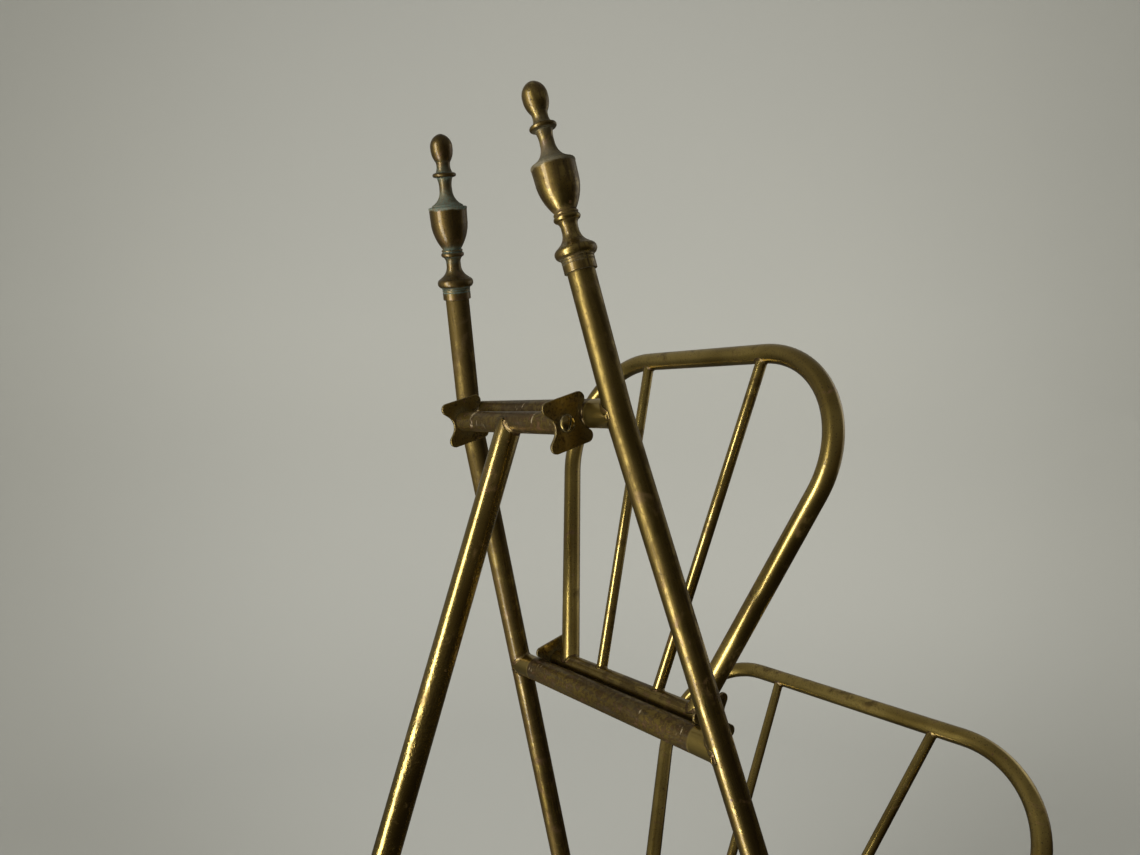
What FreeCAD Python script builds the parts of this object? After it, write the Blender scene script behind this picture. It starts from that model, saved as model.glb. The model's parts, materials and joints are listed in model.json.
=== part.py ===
import FreeCAD, Part
import math
import os

import Sketcher
from FreeCAD import Placement, Rotation, Vector

# A free-standing folding magazine rack of brass tube. Two front posts lean back and splay outward
# towards the floor, a single rear leg props them, and on each lower crossbar hangs a fan: a bent hoop
# with two thin rods that holds magazines against the posts.
# Millimetres. +X runs to the right post, +Y to the front where the fans are, +Z up from the floor.

doc = FreeCAD.newDocument("magazine_rack")
sheet = doc.addObject("Spreadsheet::Sheet", "Sizes")

SIZES = [
    ("post_tube", 16.0),
    ("crossbar_tube", 17.0),
    ("hinge_tube", 13.5),
    ("rod_diameter", 8.0),
    ("tube_wall", 1.5),
    ("hinge_spacing", 19.0),
    ("top_half_width", 82.5),
    ("post_tilt", 16.8),
    ("post_splay", 6.5),
    ("stem_tilt", 11.9),
    ("stem_splay", 9.0),
    ("stem_length", 88.0),
    ("bend_radius", 60.0),
    ("post_length", 648.0),
    ("leg_tilt", 18.9),
    ("upper_tier", 205.0),
    ("lower_tier", 518.0),
    ("leg_plate_inset", 23.5),
    ("fan_plate_inset", 22.0),
    ("plate_thickness", 2.0),
    ("plate_half_height", 15.1),
    ("plate_half_width", 15.2),
    ("plate_shift", 1.2),
    ("plate_lobe", 4.0),
    ("plate_notch", 8.5),
    ("plate_edge_round", 0.5),
    ("upper_fan_tilt", 17.7),
    ("upper_fan_height", 241.5),
    ("upper_fan_foot", 65.2),
    ("upper_fan_shoulder", 159.0),
    ("upper_fan_corner", 69.0),
    ("upper_rod_foot", 29.0),
    ("upper_rod_top", 58.0),
    ("lower_fan_tilt", 36.3),
    ("lower_fan_height", 288.5),
    ("lower_fan_foot", 89.5),
    ("lower_fan_shoulder", 217.5),
    ("lower_fan_corner", 75.5),
    ("lower_rod_foot", 33.0),
    ("lower_rod_top", 78.0),
    ("screw_shank", 5.0),
    ("screw_head", 10.0),
    ("screw_head_height", 2.8),
    ("screw_reach", 10.0),
    ("slot_width", 1.2),
    ("slot_depth", 1.3),
    ("hole_clearance", 0.05),
    ("side_gap", 0.3),
    ("plug_length", 14.0),
    ("collar_diameter", 18.8),
    ("collar_height", 7.0),
    ("spigot_length", 12.0),
    ("foot_diameter", 21.0),
    ("foot_sleeve", 22.0),
    ("foot_sole", 5.0),
    ("foot_round", 1.5),
]
for row, (alias, value) in enumerate(SIZES, start=1):
    sheet.set(f"A{row}", alias)
    sheet.set(f"B{row}", str(value))
    sheet.setAlias(f"B{row}", alias)
doc.recompute()


def size(alias):
    """The number in the sheet's cell of that name."""
    return float(sheet.get(alias))


def sine(alias):
    return math.sin(math.radians(size(alias)))


def cosine(alias):
    return math.cos(math.radians(size(alias)))


# ---------------------------------------------------------------- the frame's geometry

LEFT, RIGHT = -1, 1
SIDE_NAMES = {LEFT: "left", RIGHT: "right"}
ACROSS = Vector(1, 0, 0)
# Directions in the leaning plane that holds both front posts: up the plane, and out of it to the front.
PLANE_UP = Vector(0, -sine("post_tilt"), cosine("post_tilt"))
PLANE_FRONT = Vector(0, cosine("post_tilt"), sine("post_tilt"))
FLAT_ON_FRAME = Rotation(PLANE_FRONT, PLANE_UP, ACROSS, "XYZ")


def post_down(side):
    """Unit vector down the post on one side."""
    return ACROSS * (side * sine("post_splay")) - PLANE_UP * cosine("post_splay")


def stem_up(side):
    """Unit vector up the stem that stands above the top crossbar."""
    lean = Vector(0, -sine("stem_tilt"), cosine("stem_tilt"))
    return ACROSS * (-side * sine("stem_splay")) + lean * cosine("stem_splay")


def fan_up(fan):
    """Unit vector up the fan's own plane."""
    return Vector(0, sine(f"{fan}_fan_tilt"), cosine(f"{fan}_fan_tilt"))


LEG_DOWN = Vector(0, -sine("leg_tilt"), -cosine("leg_tilt"))

# The top crossbar's height puts the posts' soles on the floor, and its place along Y centres the rack's
# box on the origin, between the rear foot and the front of the lower fan.
TOP_HEIGHT = size("post_length") * cosine("post_splay") * cosine("post_tilt")
LEG_RUN = (TOP_HEIGHT - size("hinge_spacing") * PLANE_FRONT.z) / cosine("leg_tilt")
REAR_REACH = (
    size("hinge_spacing") * PLANE_FRONT.y
    + LEG_RUN * sine("leg_tilt")
    + size("foot_diameter") / 2 / cosine("leg_tilt")
)


def tier_from_top(tier):
    """From the top crossbar's centre to the centre of a tier's crossbar."""
    return PLANE_UP * (-size(f"{tier}_tier") * cosine("post_splay"))


FRONT_REACH = (
    tier_from_top("lower").y
    + size("hinge_spacing") * PLANE_FRONT.y
    + size("lower_fan_height") * sine("lower_fan_tilt")
    + size("hinge_tube") / 2
)
TOP_CENTRE = Vector(0, (REAR_REACH - FRONT_REACH) / 2, TOP_HEIGHT)
LEG_AXIS = TOP_CENTRE - PLANE_FRONT * size("hinge_spacing")


def tier_centre(tier):
    return TOP_CENTRE + tier_from_top(tier)


def fan_axis(tier):
    """Centre of the axis that a tier's fan turns on."""
    return tier_centre(tier) + PLANE_FRONT * size("hinge_spacing")


def post_joint(side):
    """Where a post's centre line meets the top crossbar's."""
    return TOP_CENTRE + ACROSS * (side * size("top_half_width"))


def crossbar_half_width(distance):
    """From the rack's middle to a post's centre line, at that distance down the post."""
    return size("top_half_width") + distance * sine("post_splay")


# How far out from the middle the hinge plates' outer faces stand.
PLATE_X = {
    "leg": crossbar_half_width(0.0) - size("leg_plate_inset"),
    "upper_fan": crossbar_half_width(size("upper_tier")) - size("fan_plate_inset"),
    "lower_fan": crossbar_half_width(size("lower_tier")) - size("fan_plate_inset"),
}
HINGE_AXIS = {"leg": LEG_AXIS, "upper_fan": fan_axis("upper"), "lower_fan": fan_axis("lower")}
# Which way the crossbar lies from each hinge axis, along PLANE_FRONT.
CROSSBAR_SIDE = {"leg": 1, "upper_fan": -1, "lower_fan": -1}


def hinge_half_length(hinge):
    """Half the length of a hinge tube: up to the plates' inner faces, less the side gap."""
    return PLATE_X[hinge] - size("plate_thickness") - size("side_gap")


def aim(origin, direction):
    """Placement that turns local +Z to a direction and moves the origin to a point."""
    return Placement(origin, Rotation(Vector(0, 0, 1), direction))


# ---------------------------------------------------------------- helpers for the document

parts = []


def keep(shape_object, label):
    """Marks an object as a sub-part, which its own file will be named after."""
    shape_object.Label = label
    parts.append(shape_object)
    return shape_object


def origin_plane(body, role):
    return next(item for item in body.Origin.OriginFeatures if item.Role == role)


def new_body(label):
    return doc.addObject("PartDesign::Body", label + "_body")


def new_sketch(body, name, role, offset=None):
    sketch = body.newObject("Sketcher::SketchObject", name)
    sketch.AttachmentSupport = [(origin_plane(body, role), "")]
    sketch.MapMode = "FlatFace"
    if offset is not None:
        sketch.AttachmentOffset = offset
    return sketch


def bound_circle(sketch, name, expression):
    """A circle about the sketch's origin whose diameter is bound to the sheet."""
    index = sketch.addGeometry(Part.Circle(Vector(0, 0, 0), Vector(0, 0, 1), 5.0))
    sketch.addConstraint(Sketcher.Constraint("Coincident", index, 3, -1, 1))
    constraint = sketch.addConstraint(Sketcher.Constraint("Diameter", index, 10.0))
    sketch.renameConstraint(constraint, name)
    sketch.setExpression(f"Constraints.{name}", expression)


def tube_section(sketch, diameter):
    """The ring that a tube of that diameter and the sheet's wall has."""
    bound_circle(sketch, "outside", f"Sizes.{diameter}")
    bound_circle(sketch, "bore", f"Sizes.{diameter} - 2 * Sizes.tube_wall")


def outline(sketch, edges):
    for edge in edges:
        sketch.addGeometry(edge)


def line(start, end):
    return Part.LineSegment(Vector(*start, 0), Vector(*end, 0))


def arc(start, middle, end):
    return Part.Arc(Vector(*start, 0), Vector(*middle, 0), Vector(*end, 0))


def cylinder(name, radius, height, placement):
    """A Part cylinder with its radius bound to the sheet; height is a number or an expression."""
    made = doc.addObject("Part::Cylinder", name)
    made.setExpression("Radius", radius)
    if isinstance(height, str):
        made.setExpression("Height", height)
    else:
        made.Height = height
    made.Placement = placement
    return made


def cut(name, base, *tools):
    """base less each tool in turn."""
    for number, tool in enumerate(tools):
        step = doc.addObject("Part::Cut", f"{name}_cut_{number}")
        step.Base = base
        step.Tool = tool
        base = step
    return base


def common(name, *shapes):
    made = doc.addObject("Part::MultiCommon", name)
    made.Shapes = list(shapes)
    return made


def group(name, *members):
    made = doc.addObject("Part::Compound", name)
    made.Links = list(members)
    return made


def long_cylinder(name, radius, centre, direction, half_length):
    """A solid cylinder that reaches half_length each way from its centre, used to cope tube ends."""
    return cylinder(name, radius, 2 * half_length, aim(centre - direction * half_length, direction))


def coped_tube(name, diameter, centre, direction, half_length, *copes):
    """A straight tube, open at its ends, cut to fit against the tubes it is brazed to."""
    start = aim(centre - direction * half_length, direction)
    outside = cylinder(name + "_outside", f"Sizes.{diameter} / 2", 2 * half_length, start)
    bore_radius = f"Sizes.{diameter} / 2 - Sizes.tube_wall"
    bore = cylinder(name + "_bore", bore_radius, 2 * half_length, start)
    return cut(name, outside, bore, *copes)


# ---------------------------------------------------------------- posts, collars and finials


def make_post(side):
    """A tube from the floor cap to the collar, bent a little where the top crossbar meets it."""
    label = f"post_{SIDE_NAMES[side]}"
    down, up = post_down(side), stem_up(side)
    turn = (-down).getAngle(up)
    tangent = size("bend_radius") * math.tan(turn / 2)
    heading = (math.sin(turn), math.cos(turn))
    tube_end = size("post_length") - size("foot_sole")
    bend_start = (0.0, -tangent)
    bend_end = (tangent * heading[0], tangent * heading[1])
    middle_turn = turn / 2
    bend_middle = (
        size("bend_radius") * (1 - math.cos(middle_turn)),
        -tangent + size("bend_radius") * math.sin(middle_turn),
    )
    stem_end = (size("stem_length") * heading[0], size("stem_length") * heading[1])

    body = new_body(label)
    path = new_sketch(body, label + "_path", "XZ_Plane")
    outline(path, [
        line((0.0, -tube_end), bend_start),
        arc(bend_start, bend_middle, bend_end),
        line(bend_end, stem_end),
    ])
    section = new_sketch(body, label + "_section", "XY_Plane", Placement(Vector(0, 0, -tube_end), Rotation()))
    tube_section(section, "post_tube")
    tube = body.newObject("PartDesign::AdditivePipe", label + "_tube")
    tube.Profile = section
    tube.Spine = path
    inward = up - (-down) * up.dot(-down)
    inward.normalize()
    body.Placement = Placement(post_joint(side), Rotation(inward, Vector(), -down, "ZXY"))
    return keep(body, label)


def stem_top(side):
    return post_joint(side) + stem_up(side) * size("stem_length")


def make_collar(side):
    """The plain ring brazed round a stem's end, with one turned groove and rounded rims."""
    label = f"collar_{SIDE_NAMES[side]}"
    inner, outer = size("post_tube") / 2, size("collar_diameter") / 2
    height, rim, groove = size("collar_height"), 0.4, 0.35
    groove_height = height * 0.72
    body = new_body(label)
    profile = new_sketch(body, label + "_profile", "XZ_Plane")
    outline(profile, [
        line((inner, 0.0), (outer - rim, 0.0)),
        arc((outer - rim, 0.0), (outer - rim * 0.3, rim * 0.3), (outer, rim)),
        line((outer, rim), (outer, groove_height - groove)),
        arc((outer, groove_height - groove), (outer - groove, groove_height), (outer, groove_height + groove)),
        line((outer, groove_height + groove), (outer, height - rim)),
        arc((outer, height - rim), (outer - rim * 0.3, height - rim * 0.3), (outer - rim, height)),
        line((outer - rim, height), (inner, height)),
        line((inner, height), (inner, 0.0)),
    ])
    revolve_about_z(body, profile, label)
    body.Placement = aim(stem_top(side) - stem_up(side) * size("collar_height"), stem_up(side))
    return keep(body, label)


def revolve_about_z(body, profile, label):
    turned = body.newObject("PartDesign::Revolution", label + "_turned")
    turned.Profile = profile
    turned.ReferenceAxis = (profile, ["V_Axis"])
    turned.Angle = 360.0
    return turned


def make_finial(side):
    """The turned urn finial: base ring, double bead, urn, necked ring and egg, on a spigot in the stem."""
    label = f"finial_{SIDE_NAMES[side]}"
    spigot = size("post_tube") / 2 - size("tube_wall")
    body = new_body(label)
    profile = new_sketch(body, label + "_profile", "XZ_Plane")
    outline(profile, [
        line((0.0, -size("spigot_length")), (spigot, -size("spigot_length"))),
        line((spigot, -size("spigot_length")), (spigot, 0.0)),
        line((spigot, 0.0), (9.4, 0.0)),
        line((9.4, 0.0), (9.8, 1.0)),
        arc((9.8, 1.0), (12.1, 4.2), (9.9, 7.4)),
        line((9.9, 7.4), (9.0, 8.2)),
        arc((9.0, 8.2), (6.0, 11.4), (4.9, 16.0)),
        line((4.9, 16.0), (4.9, 17.6)),
        arc((4.9, 17.6), (5.2, 19.8), (6.2, 21.4)),
        arc((6.2, 21.4), (7.7, 23.1), (6.5, 24.8)),
        arc((6.5, 24.8), (7.1, 25.7), (6.0, 26.6)),
        arc((6.0, 26.6), (10.3, 34.4), (12.3, 43.0)),
        line((12.3, 43.0), (12.6, 52.6)),
        arc((12.6, 52.6), (12.8, 53.4), (12.4, 54.2)),
        line((12.4, 54.2), (10.4, 54.6)),
        line((10.4, 54.6), (10.2, 55.4)),
        arc((10.2, 55.4), (5.9, 59.2), (4.25, 65.2)),
        arc((4.25, 65.2), (4.3, 69.4), (5.1, 72.8)),
        line((5.1, 72.8), (6.8, 73.3)),
        arc((6.8, 73.3), (7.8, 74.6), (6.8, 75.9)),
        line((6.8, 75.9), (5.4, 76.4)),
        arc((5.4, 76.4), (4.5, 79.6), (4.8, 82.8)),
        arc((4.8, 82.8), (6.6, 86.4), (7.3, 91.4)),
        arc((7.3, 91.4), (5.6, 97.2), (0.6, 100.4)),
        line((0.6, 100.4), (0.0, 100.4)),
        line((0.0, 100.4), (0.0, -size("spigot_length"))),
    ])
    revolve_about_z(body, profile, label)
    body.Placement = aim(stem_top(side), stem_up(side))
    return keep(body, label)


# ---------------------------------------------------------------- crossbars


def make_crossbar(label, centre, half_width):
    """A tube between the posts, its ends coped round them."""
    copes = []
    for side in (LEFT, RIGHT):
        name = f"{label}_cope_{SIDE_NAMES[side]}"
        foot = centre + ACROSS * (side * half_width)
        directions = [post_down(side)]
        if centre == TOP_CENTRE:
            directions.append(stem_up(side))
        for number, direction in enumerate(directions):
            reach = size("post_tube") * 2
            copes.append(long_cylinder(f"{name}_{number}", "Sizes.post_tube / 2", foot, direction, reach))
    tube = coped_tube(label, "crossbar_tube", centre, ACROSS, half_width, *copes)
    return keep(tube, label)


# ---------------------------------------------------------------- hinge plates and screws


def tangent_points(lobe, lobe_radius, notch, notch_radius):
    """Ends of the straight edge that runs between a lobe and a notch, touching both circles."""
    gap = notch - lobe
    distance = gap.Length
    lean = math.acos((lobe_radius + notch_radius) / distance)
    heading = math.atan2(gap.y, gap.x) + lean
    reach = Vector(math.cos(heading), math.sin(heading), 0)
    return lobe + reach * lobe_radius, notch - reach * notch_radius


def quarter_outline():
    """Points of the plate's upper right quarter: top edge, lobe, straight edge and notch."""
    lobe_radius, notch_radius = size("plate_lobe"), size("plate_notch")
    lobe = Vector(size("plate_half_width") - lobe_radius, size("plate_half_height") - lobe_radius, 0)
    notch = Vector(size("hinge_spacing") - size("plate_shift"), 0, 0)
    leave_lobe, meet_notch = tangent_points(lobe, lobe_radius, notch, notch_radius)
    top = lobe + Vector(0, lobe_radius, 0)
    outward = (top - lobe) + (leave_lobe - lobe) + Vector(lobe_radius, 0, 0)
    lobe_middle = lobe + outward.normalize() * lobe_radius
    notch_bottom = notch - Vector(notch_radius, 0, 0)
    return top, lobe_middle, leave_lobe, meet_notch, notch_bottom


def plate_outline():
    """The closed butterfly outline: four lobes, a notch on the crossbar's side and one opposite."""
    top, lobe_middle, leave_lobe, meet_notch, notch_bottom = quarter_outline()

    def at(point, mirror_x, mirror_y):
        return (point.x * mirror_x, point.y * mirror_y)

    edges = []
    for mirror_y in (1, -1):
        edges.append(line(at(top, -1, mirror_y), at(top, 1, mirror_y)))
    for mirror_x in (1, -1):
        for mirror_y in (1, -1):
            flip = (mirror_x, mirror_y)
            edges.append(arc(at(top, *flip), at(lobe_middle, *flip), at(leave_lobe, *flip)))
            edges.append(line(at(leave_lobe, *flip), at(meet_notch, *flip)))
        edges.append(arc(at(meet_notch, mirror_x, 1), at(notch_bottom, mirror_x, 1), at(meet_notch, mirror_x, -1)))
    return edges


def face_edges(blank):
    """Names of the edges round a flat blank's two faces."""
    names = []
    for number, edge in enumerate(blank.Edges, start=1):
        if edge.BoundBox.ZLength < size("plate_thickness") / 2:
            names.append(f"Edge{number}")
    return names


def make_plate(hinge, side):
    """One sheet plate, brazed by its notch to a crossbar, with the hole that the hinge screw turns in."""
    label = f"{hinge}_plate_{SIDE_NAMES[side]}"
    body = new_body(label)
    middle = Placement(Vector(CROSSBAR_SIDE[hinge] * size("plate_shift"), 0, 0), Rotation())
    sketch = new_sketch(body, label + "_outline", "XY_Plane", middle)
    outline(sketch, plate_outline())
    blank = body.newObject("PartDesign::Pad", label + "_blank")
    blank.Profile = sketch
    blank.setExpression("Length", "Sizes.plate_thickness")
    doc.recompute()
    rounded = body.newObject("PartDesign::Fillet", label + "_rounded")
    rounded.Base = (blank, face_edges(blank.Shape))
    rounded.setExpression("Radius", "Sizes.plate_edge_round")
    hole_sketch = new_sketch(body, label + "_hole_sketch", "XY_Plane")
    bound_circle(hole_sketch, "hole", "Sizes.screw_shank + 2 * Sizes.hole_clearance")
    hole = body.newObject("PartDesign::Pocket", label + "_hole")
    hole.Profile = hole_sketch
    hole.Type = "ThroughAll"
    hole.Midplane = True
    inner_face = side * PLATE_X[hinge] - (size("plate_thickness") if side == RIGHT else 0.0)
    body.Placement = Placement(HINGE_AXIS[hinge] + ACROSS * inner_face, FLAT_ON_FRAME)
    return keep(body, label)


def make_screw(name, slot_turn, placement):
    """A round-headed slotted screw along local +Z, with its head's underside at the origin."""
    shank, head = size("screw_shank") / 2, size("screw_head") / 2
    height, rim, shoulder = size("screw_head_height"), 0.7, 0.82
    reach = size("screw_reach") + size("plate_thickness") + 2 * size("side_gap")
    body = new_body(name)
    profile = new_sketch(body, name + "_profile", "XZ_Plane")
    dome_middle = (head * 0.66, rim + (height - rim) * shoulder)
    outline(profile, [
        line((0.0, -reach), (shank, -reach)),
        line((shank, -reach), (shank, 0.0)),
        line((shank, 0.0), (head, 0.0)),
        line((head, 0.0), (head, rim)),
        arc((head, rim), dome_middle, (0.0, height)),
        line((0.0, height), (0.0, -reach)),
    ])
    revolve_about_z(body, profile, name)
    turned = Placement(Vector(0, 0, height - size("slot_depth")), Rotation(Vector(0, 0, 1), slot_turn))
    slot_sketch = new_sketch(body, name + "_slot_sketch", "XY_Plane", turned)
    half_width, half_length = size("slot_width") / 2, size("screw_head")
    corners = [
        (-half_length, -half_width),
        (half_length, -half_width),
        (half_length, half_width),
        (-half_length, half_width),
    ]
    outline(slot_sketch, [line(corners[n], corners[(n + 1) % 4]) for n in range(4)])
    slot = body.newObject("PartDesign::Pocket", name + "_slot")
    slot.Profile = slot_sketch
    slot.setExpression("Length", "Sizes.screw_head_height")
    slot.Reversed = True
    body.Placement = placement
    return body


def make_screws(hinge, slot_turns):
    """The two screws that a hinge tube turns on."""
    members = []
    for side, slot_turn in zip((LEFT, RIGHT), slot_turns):
        underside = HINGE_AXIS[hinge] + ACROSS * (side * (PLATE_X[hinge] + size("side_gap")))
        name = f"{hinge}_screw_{SIDE_NAMES[side]}"
        members.append(make_screw(name, slot_turn, aim(underside, ACROSS * side)))
    return keep(group(f"{hinge}_screw_pair", *members), f"{hinge}_hinge_screws")


def make_plugs(hinge):
    """The two solid plugs in the ends of a hinge tube that the screws thread into."""
    members = []
    for side in (LEFT, RIGHT):
        name = f"{hinge}_plug_{SIDE_NAMES[side]}"
        start = aim(HINGE_AXIS[hinge] + ACROSS * (side * hinge_half_length(hinge)), ACROSS * -side)
        blank = cylinder(name + "_blank", "Sizes.hinge_tube / 2 - Sizes.tube_wall", "Sizes.plug_length", start)
        thread = cylinder(name + "_thread", "Sizes.screw_shank / 2", "Sizes.screw_reach", start)
        members.append(cut(name, blank, thread))
    return keep(group(f"{hinge}_plug_pair", *members), f"{hinge}_hinge_plugs")


def make_hinge_tube(hinge, label):
    tube = coped_tube(label, "hinge_tube", HINGE_AXIS[hinge], ACROSS, hinge_half_length(hinge))
    return keep(tube, label)


# ---------------------------------------------------------------- rear leg and feet


def make_rear_leg():
    """The single rear tube, coped under its hinge tube."""
    length = LEG_RUN - size("foot_sole")
    start = aim(LEG_AXIS, LEG_DOWN)
    outside = cylinder("rear_leg_outside", "Sizes.post_tube / 2", length, start)
    bore = cylinder("rear_leg_bore", "Sizes.post_tube / 2 - Sizes.tube_wall", length, start)
    cope = long_cylinder("rear_leg_cope", "Sizes.hinge_tube / 2", LEG_AXIS, ACROSS, size("post_tube"))
    return keep(cut("rear_leg", outside, bore, cope), "rear_leg")


def make_foot(label, sole_point, down):
    """A floor cap: a sleeve over the tube's end with a rounded rim, its sole cut level with the floor."""
    outer, inner = size("foot_diameter") / 2, size("post_tube") / 2
    top, rim = size("foot_sleeve"), size("foot_round")
    overrun = -outer
    body = new_body(label)
    profile = new_sketch(body, label + "_profile", "XZ_Plane")
    rim_middle = (outer - rim * (1 - math.sqrt(0.5)), top - rim * (1 - math.sqrt(0.5)))
    outline(profile, [
        line((0.0, overrun), (outer, overrun)),
        line((outer, overrun), (outer, top - rim)),
        arc((outer, top - rim), rim_middle, (outer - rim, top)),
        line((outer - rim, top), (inner, top)),
        line((inner, top), (inner, size("foot_sole"))),
        line((inner, size("foot_sole")), (0.0, size("foot_sole"))),
        line((0.0, size("foot_sole")), (0.0, overrun)),
    ])
    revolve_about_z(body, profile, label)
    body.Placement = aim(sole_point, -down)
    above_floor = doc.addObject("Part::Box", label + "_room")
    room = 3 * size("foot_diameter")
    above_floor.Length = room
    above_floor.Width = room
    above_floor.Height = room
    above_floor.Placement = Placement(sole_point - Vector(room / 2, room / 2, 0), Rotation())
    return keep(common(label + "_level", body, above_floor), label)


def make_feet():
    for side in (LEFT, RIGHT):
        sole_point = post_joint(side) + post_down(side) * size("post_length")
        make_foot(f"foot_{SIDE_NAMES[side]}", sole_point, post_down(side))
    make_foot("foot_rear", LEG_AXIS + LEG_DOWN * LEG_RUN, LEG_DOWN)


# ---------------------------------------------------------------- fans


def hoop_half(fan):
    """The hoop's right half in its own plane: foot, start and end of the corner, and the corner's centre."""
    foot = Vector(size(f"{fan}_fan_foot"), 0, 0)
    shoulder = Vector(size(f"{fan}_fan_shoulder"), size(f"{fan}_fan_height"), 0)
    radius = size(f"{fan}_fan_corner")
    rise = (shoulder - foot).normalize()
    turn = rise.getAngle(Vector(-1, 0, 0))
    tangent = radius * math.tan(turn / 2)
    corner_start = shoulder - rise * tangent
    corner_end = shoulder - Vector(tangent, 0, 0)
    centre = corner_end - Vector(0, radius, 0)
    halfway = ((corner_start - centre) + (corner_end - centre)).normalize()
    return foot, corner_start, centre + halfway * radius, corner_end


def make_hoop(fan):
    """The fan's outer tube, bent in one plane: leg, corner, top bar, corner, leg."""
    label = f"{fan}_fan_hoop"
    foot, corner_start, corner_middle, corner_end = hoop_half(fan)

    def at(point, side):
        return (point.x * side, point.y)

    body = new_body(label)
    path = new_sketch(body, label + "_path", "XZ_Plane")
    outline(path, [
        line(at(foot, RIGHT), at(corner_start, RIGHT)),
        arc(at(corner_start, RIGHT), at(corner_middle, RIGHT), at(corner_end, RIGHT)),
        line(at(corner_end, RIGHT), at(corner_end, LEFT)),
        arc(at(corner_end, LEFT), at(corner_middle, LEFT), at(corner_start, LEFT)),
        line(at(corner_start, LEFT), at(foot, LEFT)),
    ])
    rise = Vector(corner_start.x - foot.x, 0, corner_start.y)
    square_to_leg = Placement(Vector(foot.x, 0, 0), Rotation(Vector(0, 0, 1), rise))
    section = new_sketch(body, label + "_section", "XY_Plane", square_to_leg)
    tube_section(section, "hinge_tube")
    tube = body.newObject("PartDesign::AdditivePipe", label + "_tube")
    tube.Profile = section
    tube.Spine = path
    cope_sketch = new_sketch(body, label + "_cope_sketch", "YZ_Plane")
    bound_circle(cope_sketch, "cope", "Sizes.hinge_tube")
    cope = body.newObject("PartDesign::Pocket", label + "_cope")
    cope.Profile = cope_sketch
    cope.Type = "ThroughAll"
    cope.Midplane = True
    up = fan_up(fan)
    body.Placement = Placement(fan_axis(fan), Rotation(ACROSS, Vector(), up, "ZXY"))
    return keep(body, label)


def make_rod(fan, side):
    """A thin solid rod from the fan's hinge tube to its top bar, coped to both."""
    label = f"{fan}_fan_rod_{SIDE_NAMES[side]}"
    axis, up = fan_axis(fan), fan_up(fan)
    foot = axis + ACROSS * (side * size(f"{fan}_rod_foot"))
    top = axis + up * size(f"{fan}_fan_height") + ACROSS * (side * size(f"{fan}_rod_top"))
    along = top - foot
    rod = cylinder(label + "_blank", "Sizes.rod_diameter / 2", along.Length, aim(foot, along))
    half_length = size(f"{fan}_fan_shoulder")
    radius = "Sizes.hinge_tube / 2"
    foot_cope = long_cylinder(label + "_foot_cope", radius, axis, ACROSS, half_length)
    top_centre = axis + up * size(f"{fan}_fan_height")
    top_cope = long_cylinder(label + "_top_cope", radius, top_centre, ACROSS, half_length)
    return keep(cut(label, rod, foot_cope, top_cope), label)


def make_fan(fan, slot_turns):
    make_hoop(fan)
    make_hinge_tube(f"{fan}_fan", f"{fan}_fan_base_tube")
    for side in (LEFT, RIGHT):
        make_rod(fan, side)
    make_plugs(f"{fan}_fan")
    make_screws(f"{fan}_fan", slot_turns)


# ---------------------------------------------------------------- the whole rack


for post_side in (LEFT, RIGHT):
    make_post(post_side)
    make_collar(post_side)
    make_finial(post_side)

make_crossbar("top_crossbar", TOP_CENTRE, crossbar_half_width(0.0))
make_crossbar("upper_crossbar", tier_centre("upper"), crossbar_half_width(size("upper_tier")))
make_crossbar("lower_crossbar", tier_centre("lower"), crossbar_half_width(size("lower_tier")))

for hinge_name in ("leg", "upper_fan", "lower_fan"):
    for plate_side in (LEFT, RIGHT):
        make_plate(hinge_name, plate_side)

make_rear_leg()
make_hinge_tube("leg", "leg_hinge_tube")
make_plugs("leg")
make_screws("leg", (35.0, -12.0))
make_feet()

make_fan("upper", (70.0, 15.0))
make_fan("lower", (-40.0, 55.0))

doc.recompute()

# ---------------------------------------------------------------- checks and files

for item in doc.Objects:
    if "Invalid" in item.State or "Error" in item.State:
        raise RuntimeError(f"{item.Label} failed: {item.State}")
for item in parts:
    if item.Shape.isNull() or not item.Shape.isValid():
        raise RuntimeError(f"{item.Label} has no valid shape")
    if item.Shape.Volume < 1.0:
        raise RuntimeError(f"{item.Label} is empty")

os.makedirs("parts", exist_ok=True)
for item in parts:
    item.Shape.exportStep(f"parts/{item.Label}.step")
    print(f"{item.Label}: {item.Shape.Volume / 1000:.2f} cm3, {len(item.Shape.Solids)} solid(s)")
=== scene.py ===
import json
import math

import bmesh
import bpy
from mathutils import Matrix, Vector, noise


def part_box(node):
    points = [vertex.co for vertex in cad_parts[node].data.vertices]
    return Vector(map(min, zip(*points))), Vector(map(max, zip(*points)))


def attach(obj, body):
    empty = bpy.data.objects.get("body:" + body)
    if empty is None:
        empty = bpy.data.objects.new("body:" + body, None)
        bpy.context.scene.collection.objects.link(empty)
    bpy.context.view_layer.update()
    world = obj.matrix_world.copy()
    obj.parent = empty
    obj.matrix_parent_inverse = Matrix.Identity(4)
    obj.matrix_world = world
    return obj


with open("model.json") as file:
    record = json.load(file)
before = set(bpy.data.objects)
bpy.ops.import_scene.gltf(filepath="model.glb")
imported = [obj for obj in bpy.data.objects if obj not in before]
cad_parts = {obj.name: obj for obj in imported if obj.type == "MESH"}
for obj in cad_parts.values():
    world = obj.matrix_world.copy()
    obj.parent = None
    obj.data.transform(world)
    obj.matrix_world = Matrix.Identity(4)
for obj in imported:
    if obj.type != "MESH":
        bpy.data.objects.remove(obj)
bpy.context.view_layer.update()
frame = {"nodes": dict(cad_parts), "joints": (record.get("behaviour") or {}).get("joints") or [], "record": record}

# Metres, in the rack's own frame: +X to the right post, +Y to the front where the fans are, +Z up.
MM = 0.001
UP = Vector((0, 0, 1))
ACROSS = Vector((1, 0, 0))
SIDES = {"left": -1, "right": 1}
FANS = ("upper", "lower")
FEET = ("foot_left", "foot_right", "foot_rear")
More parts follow.
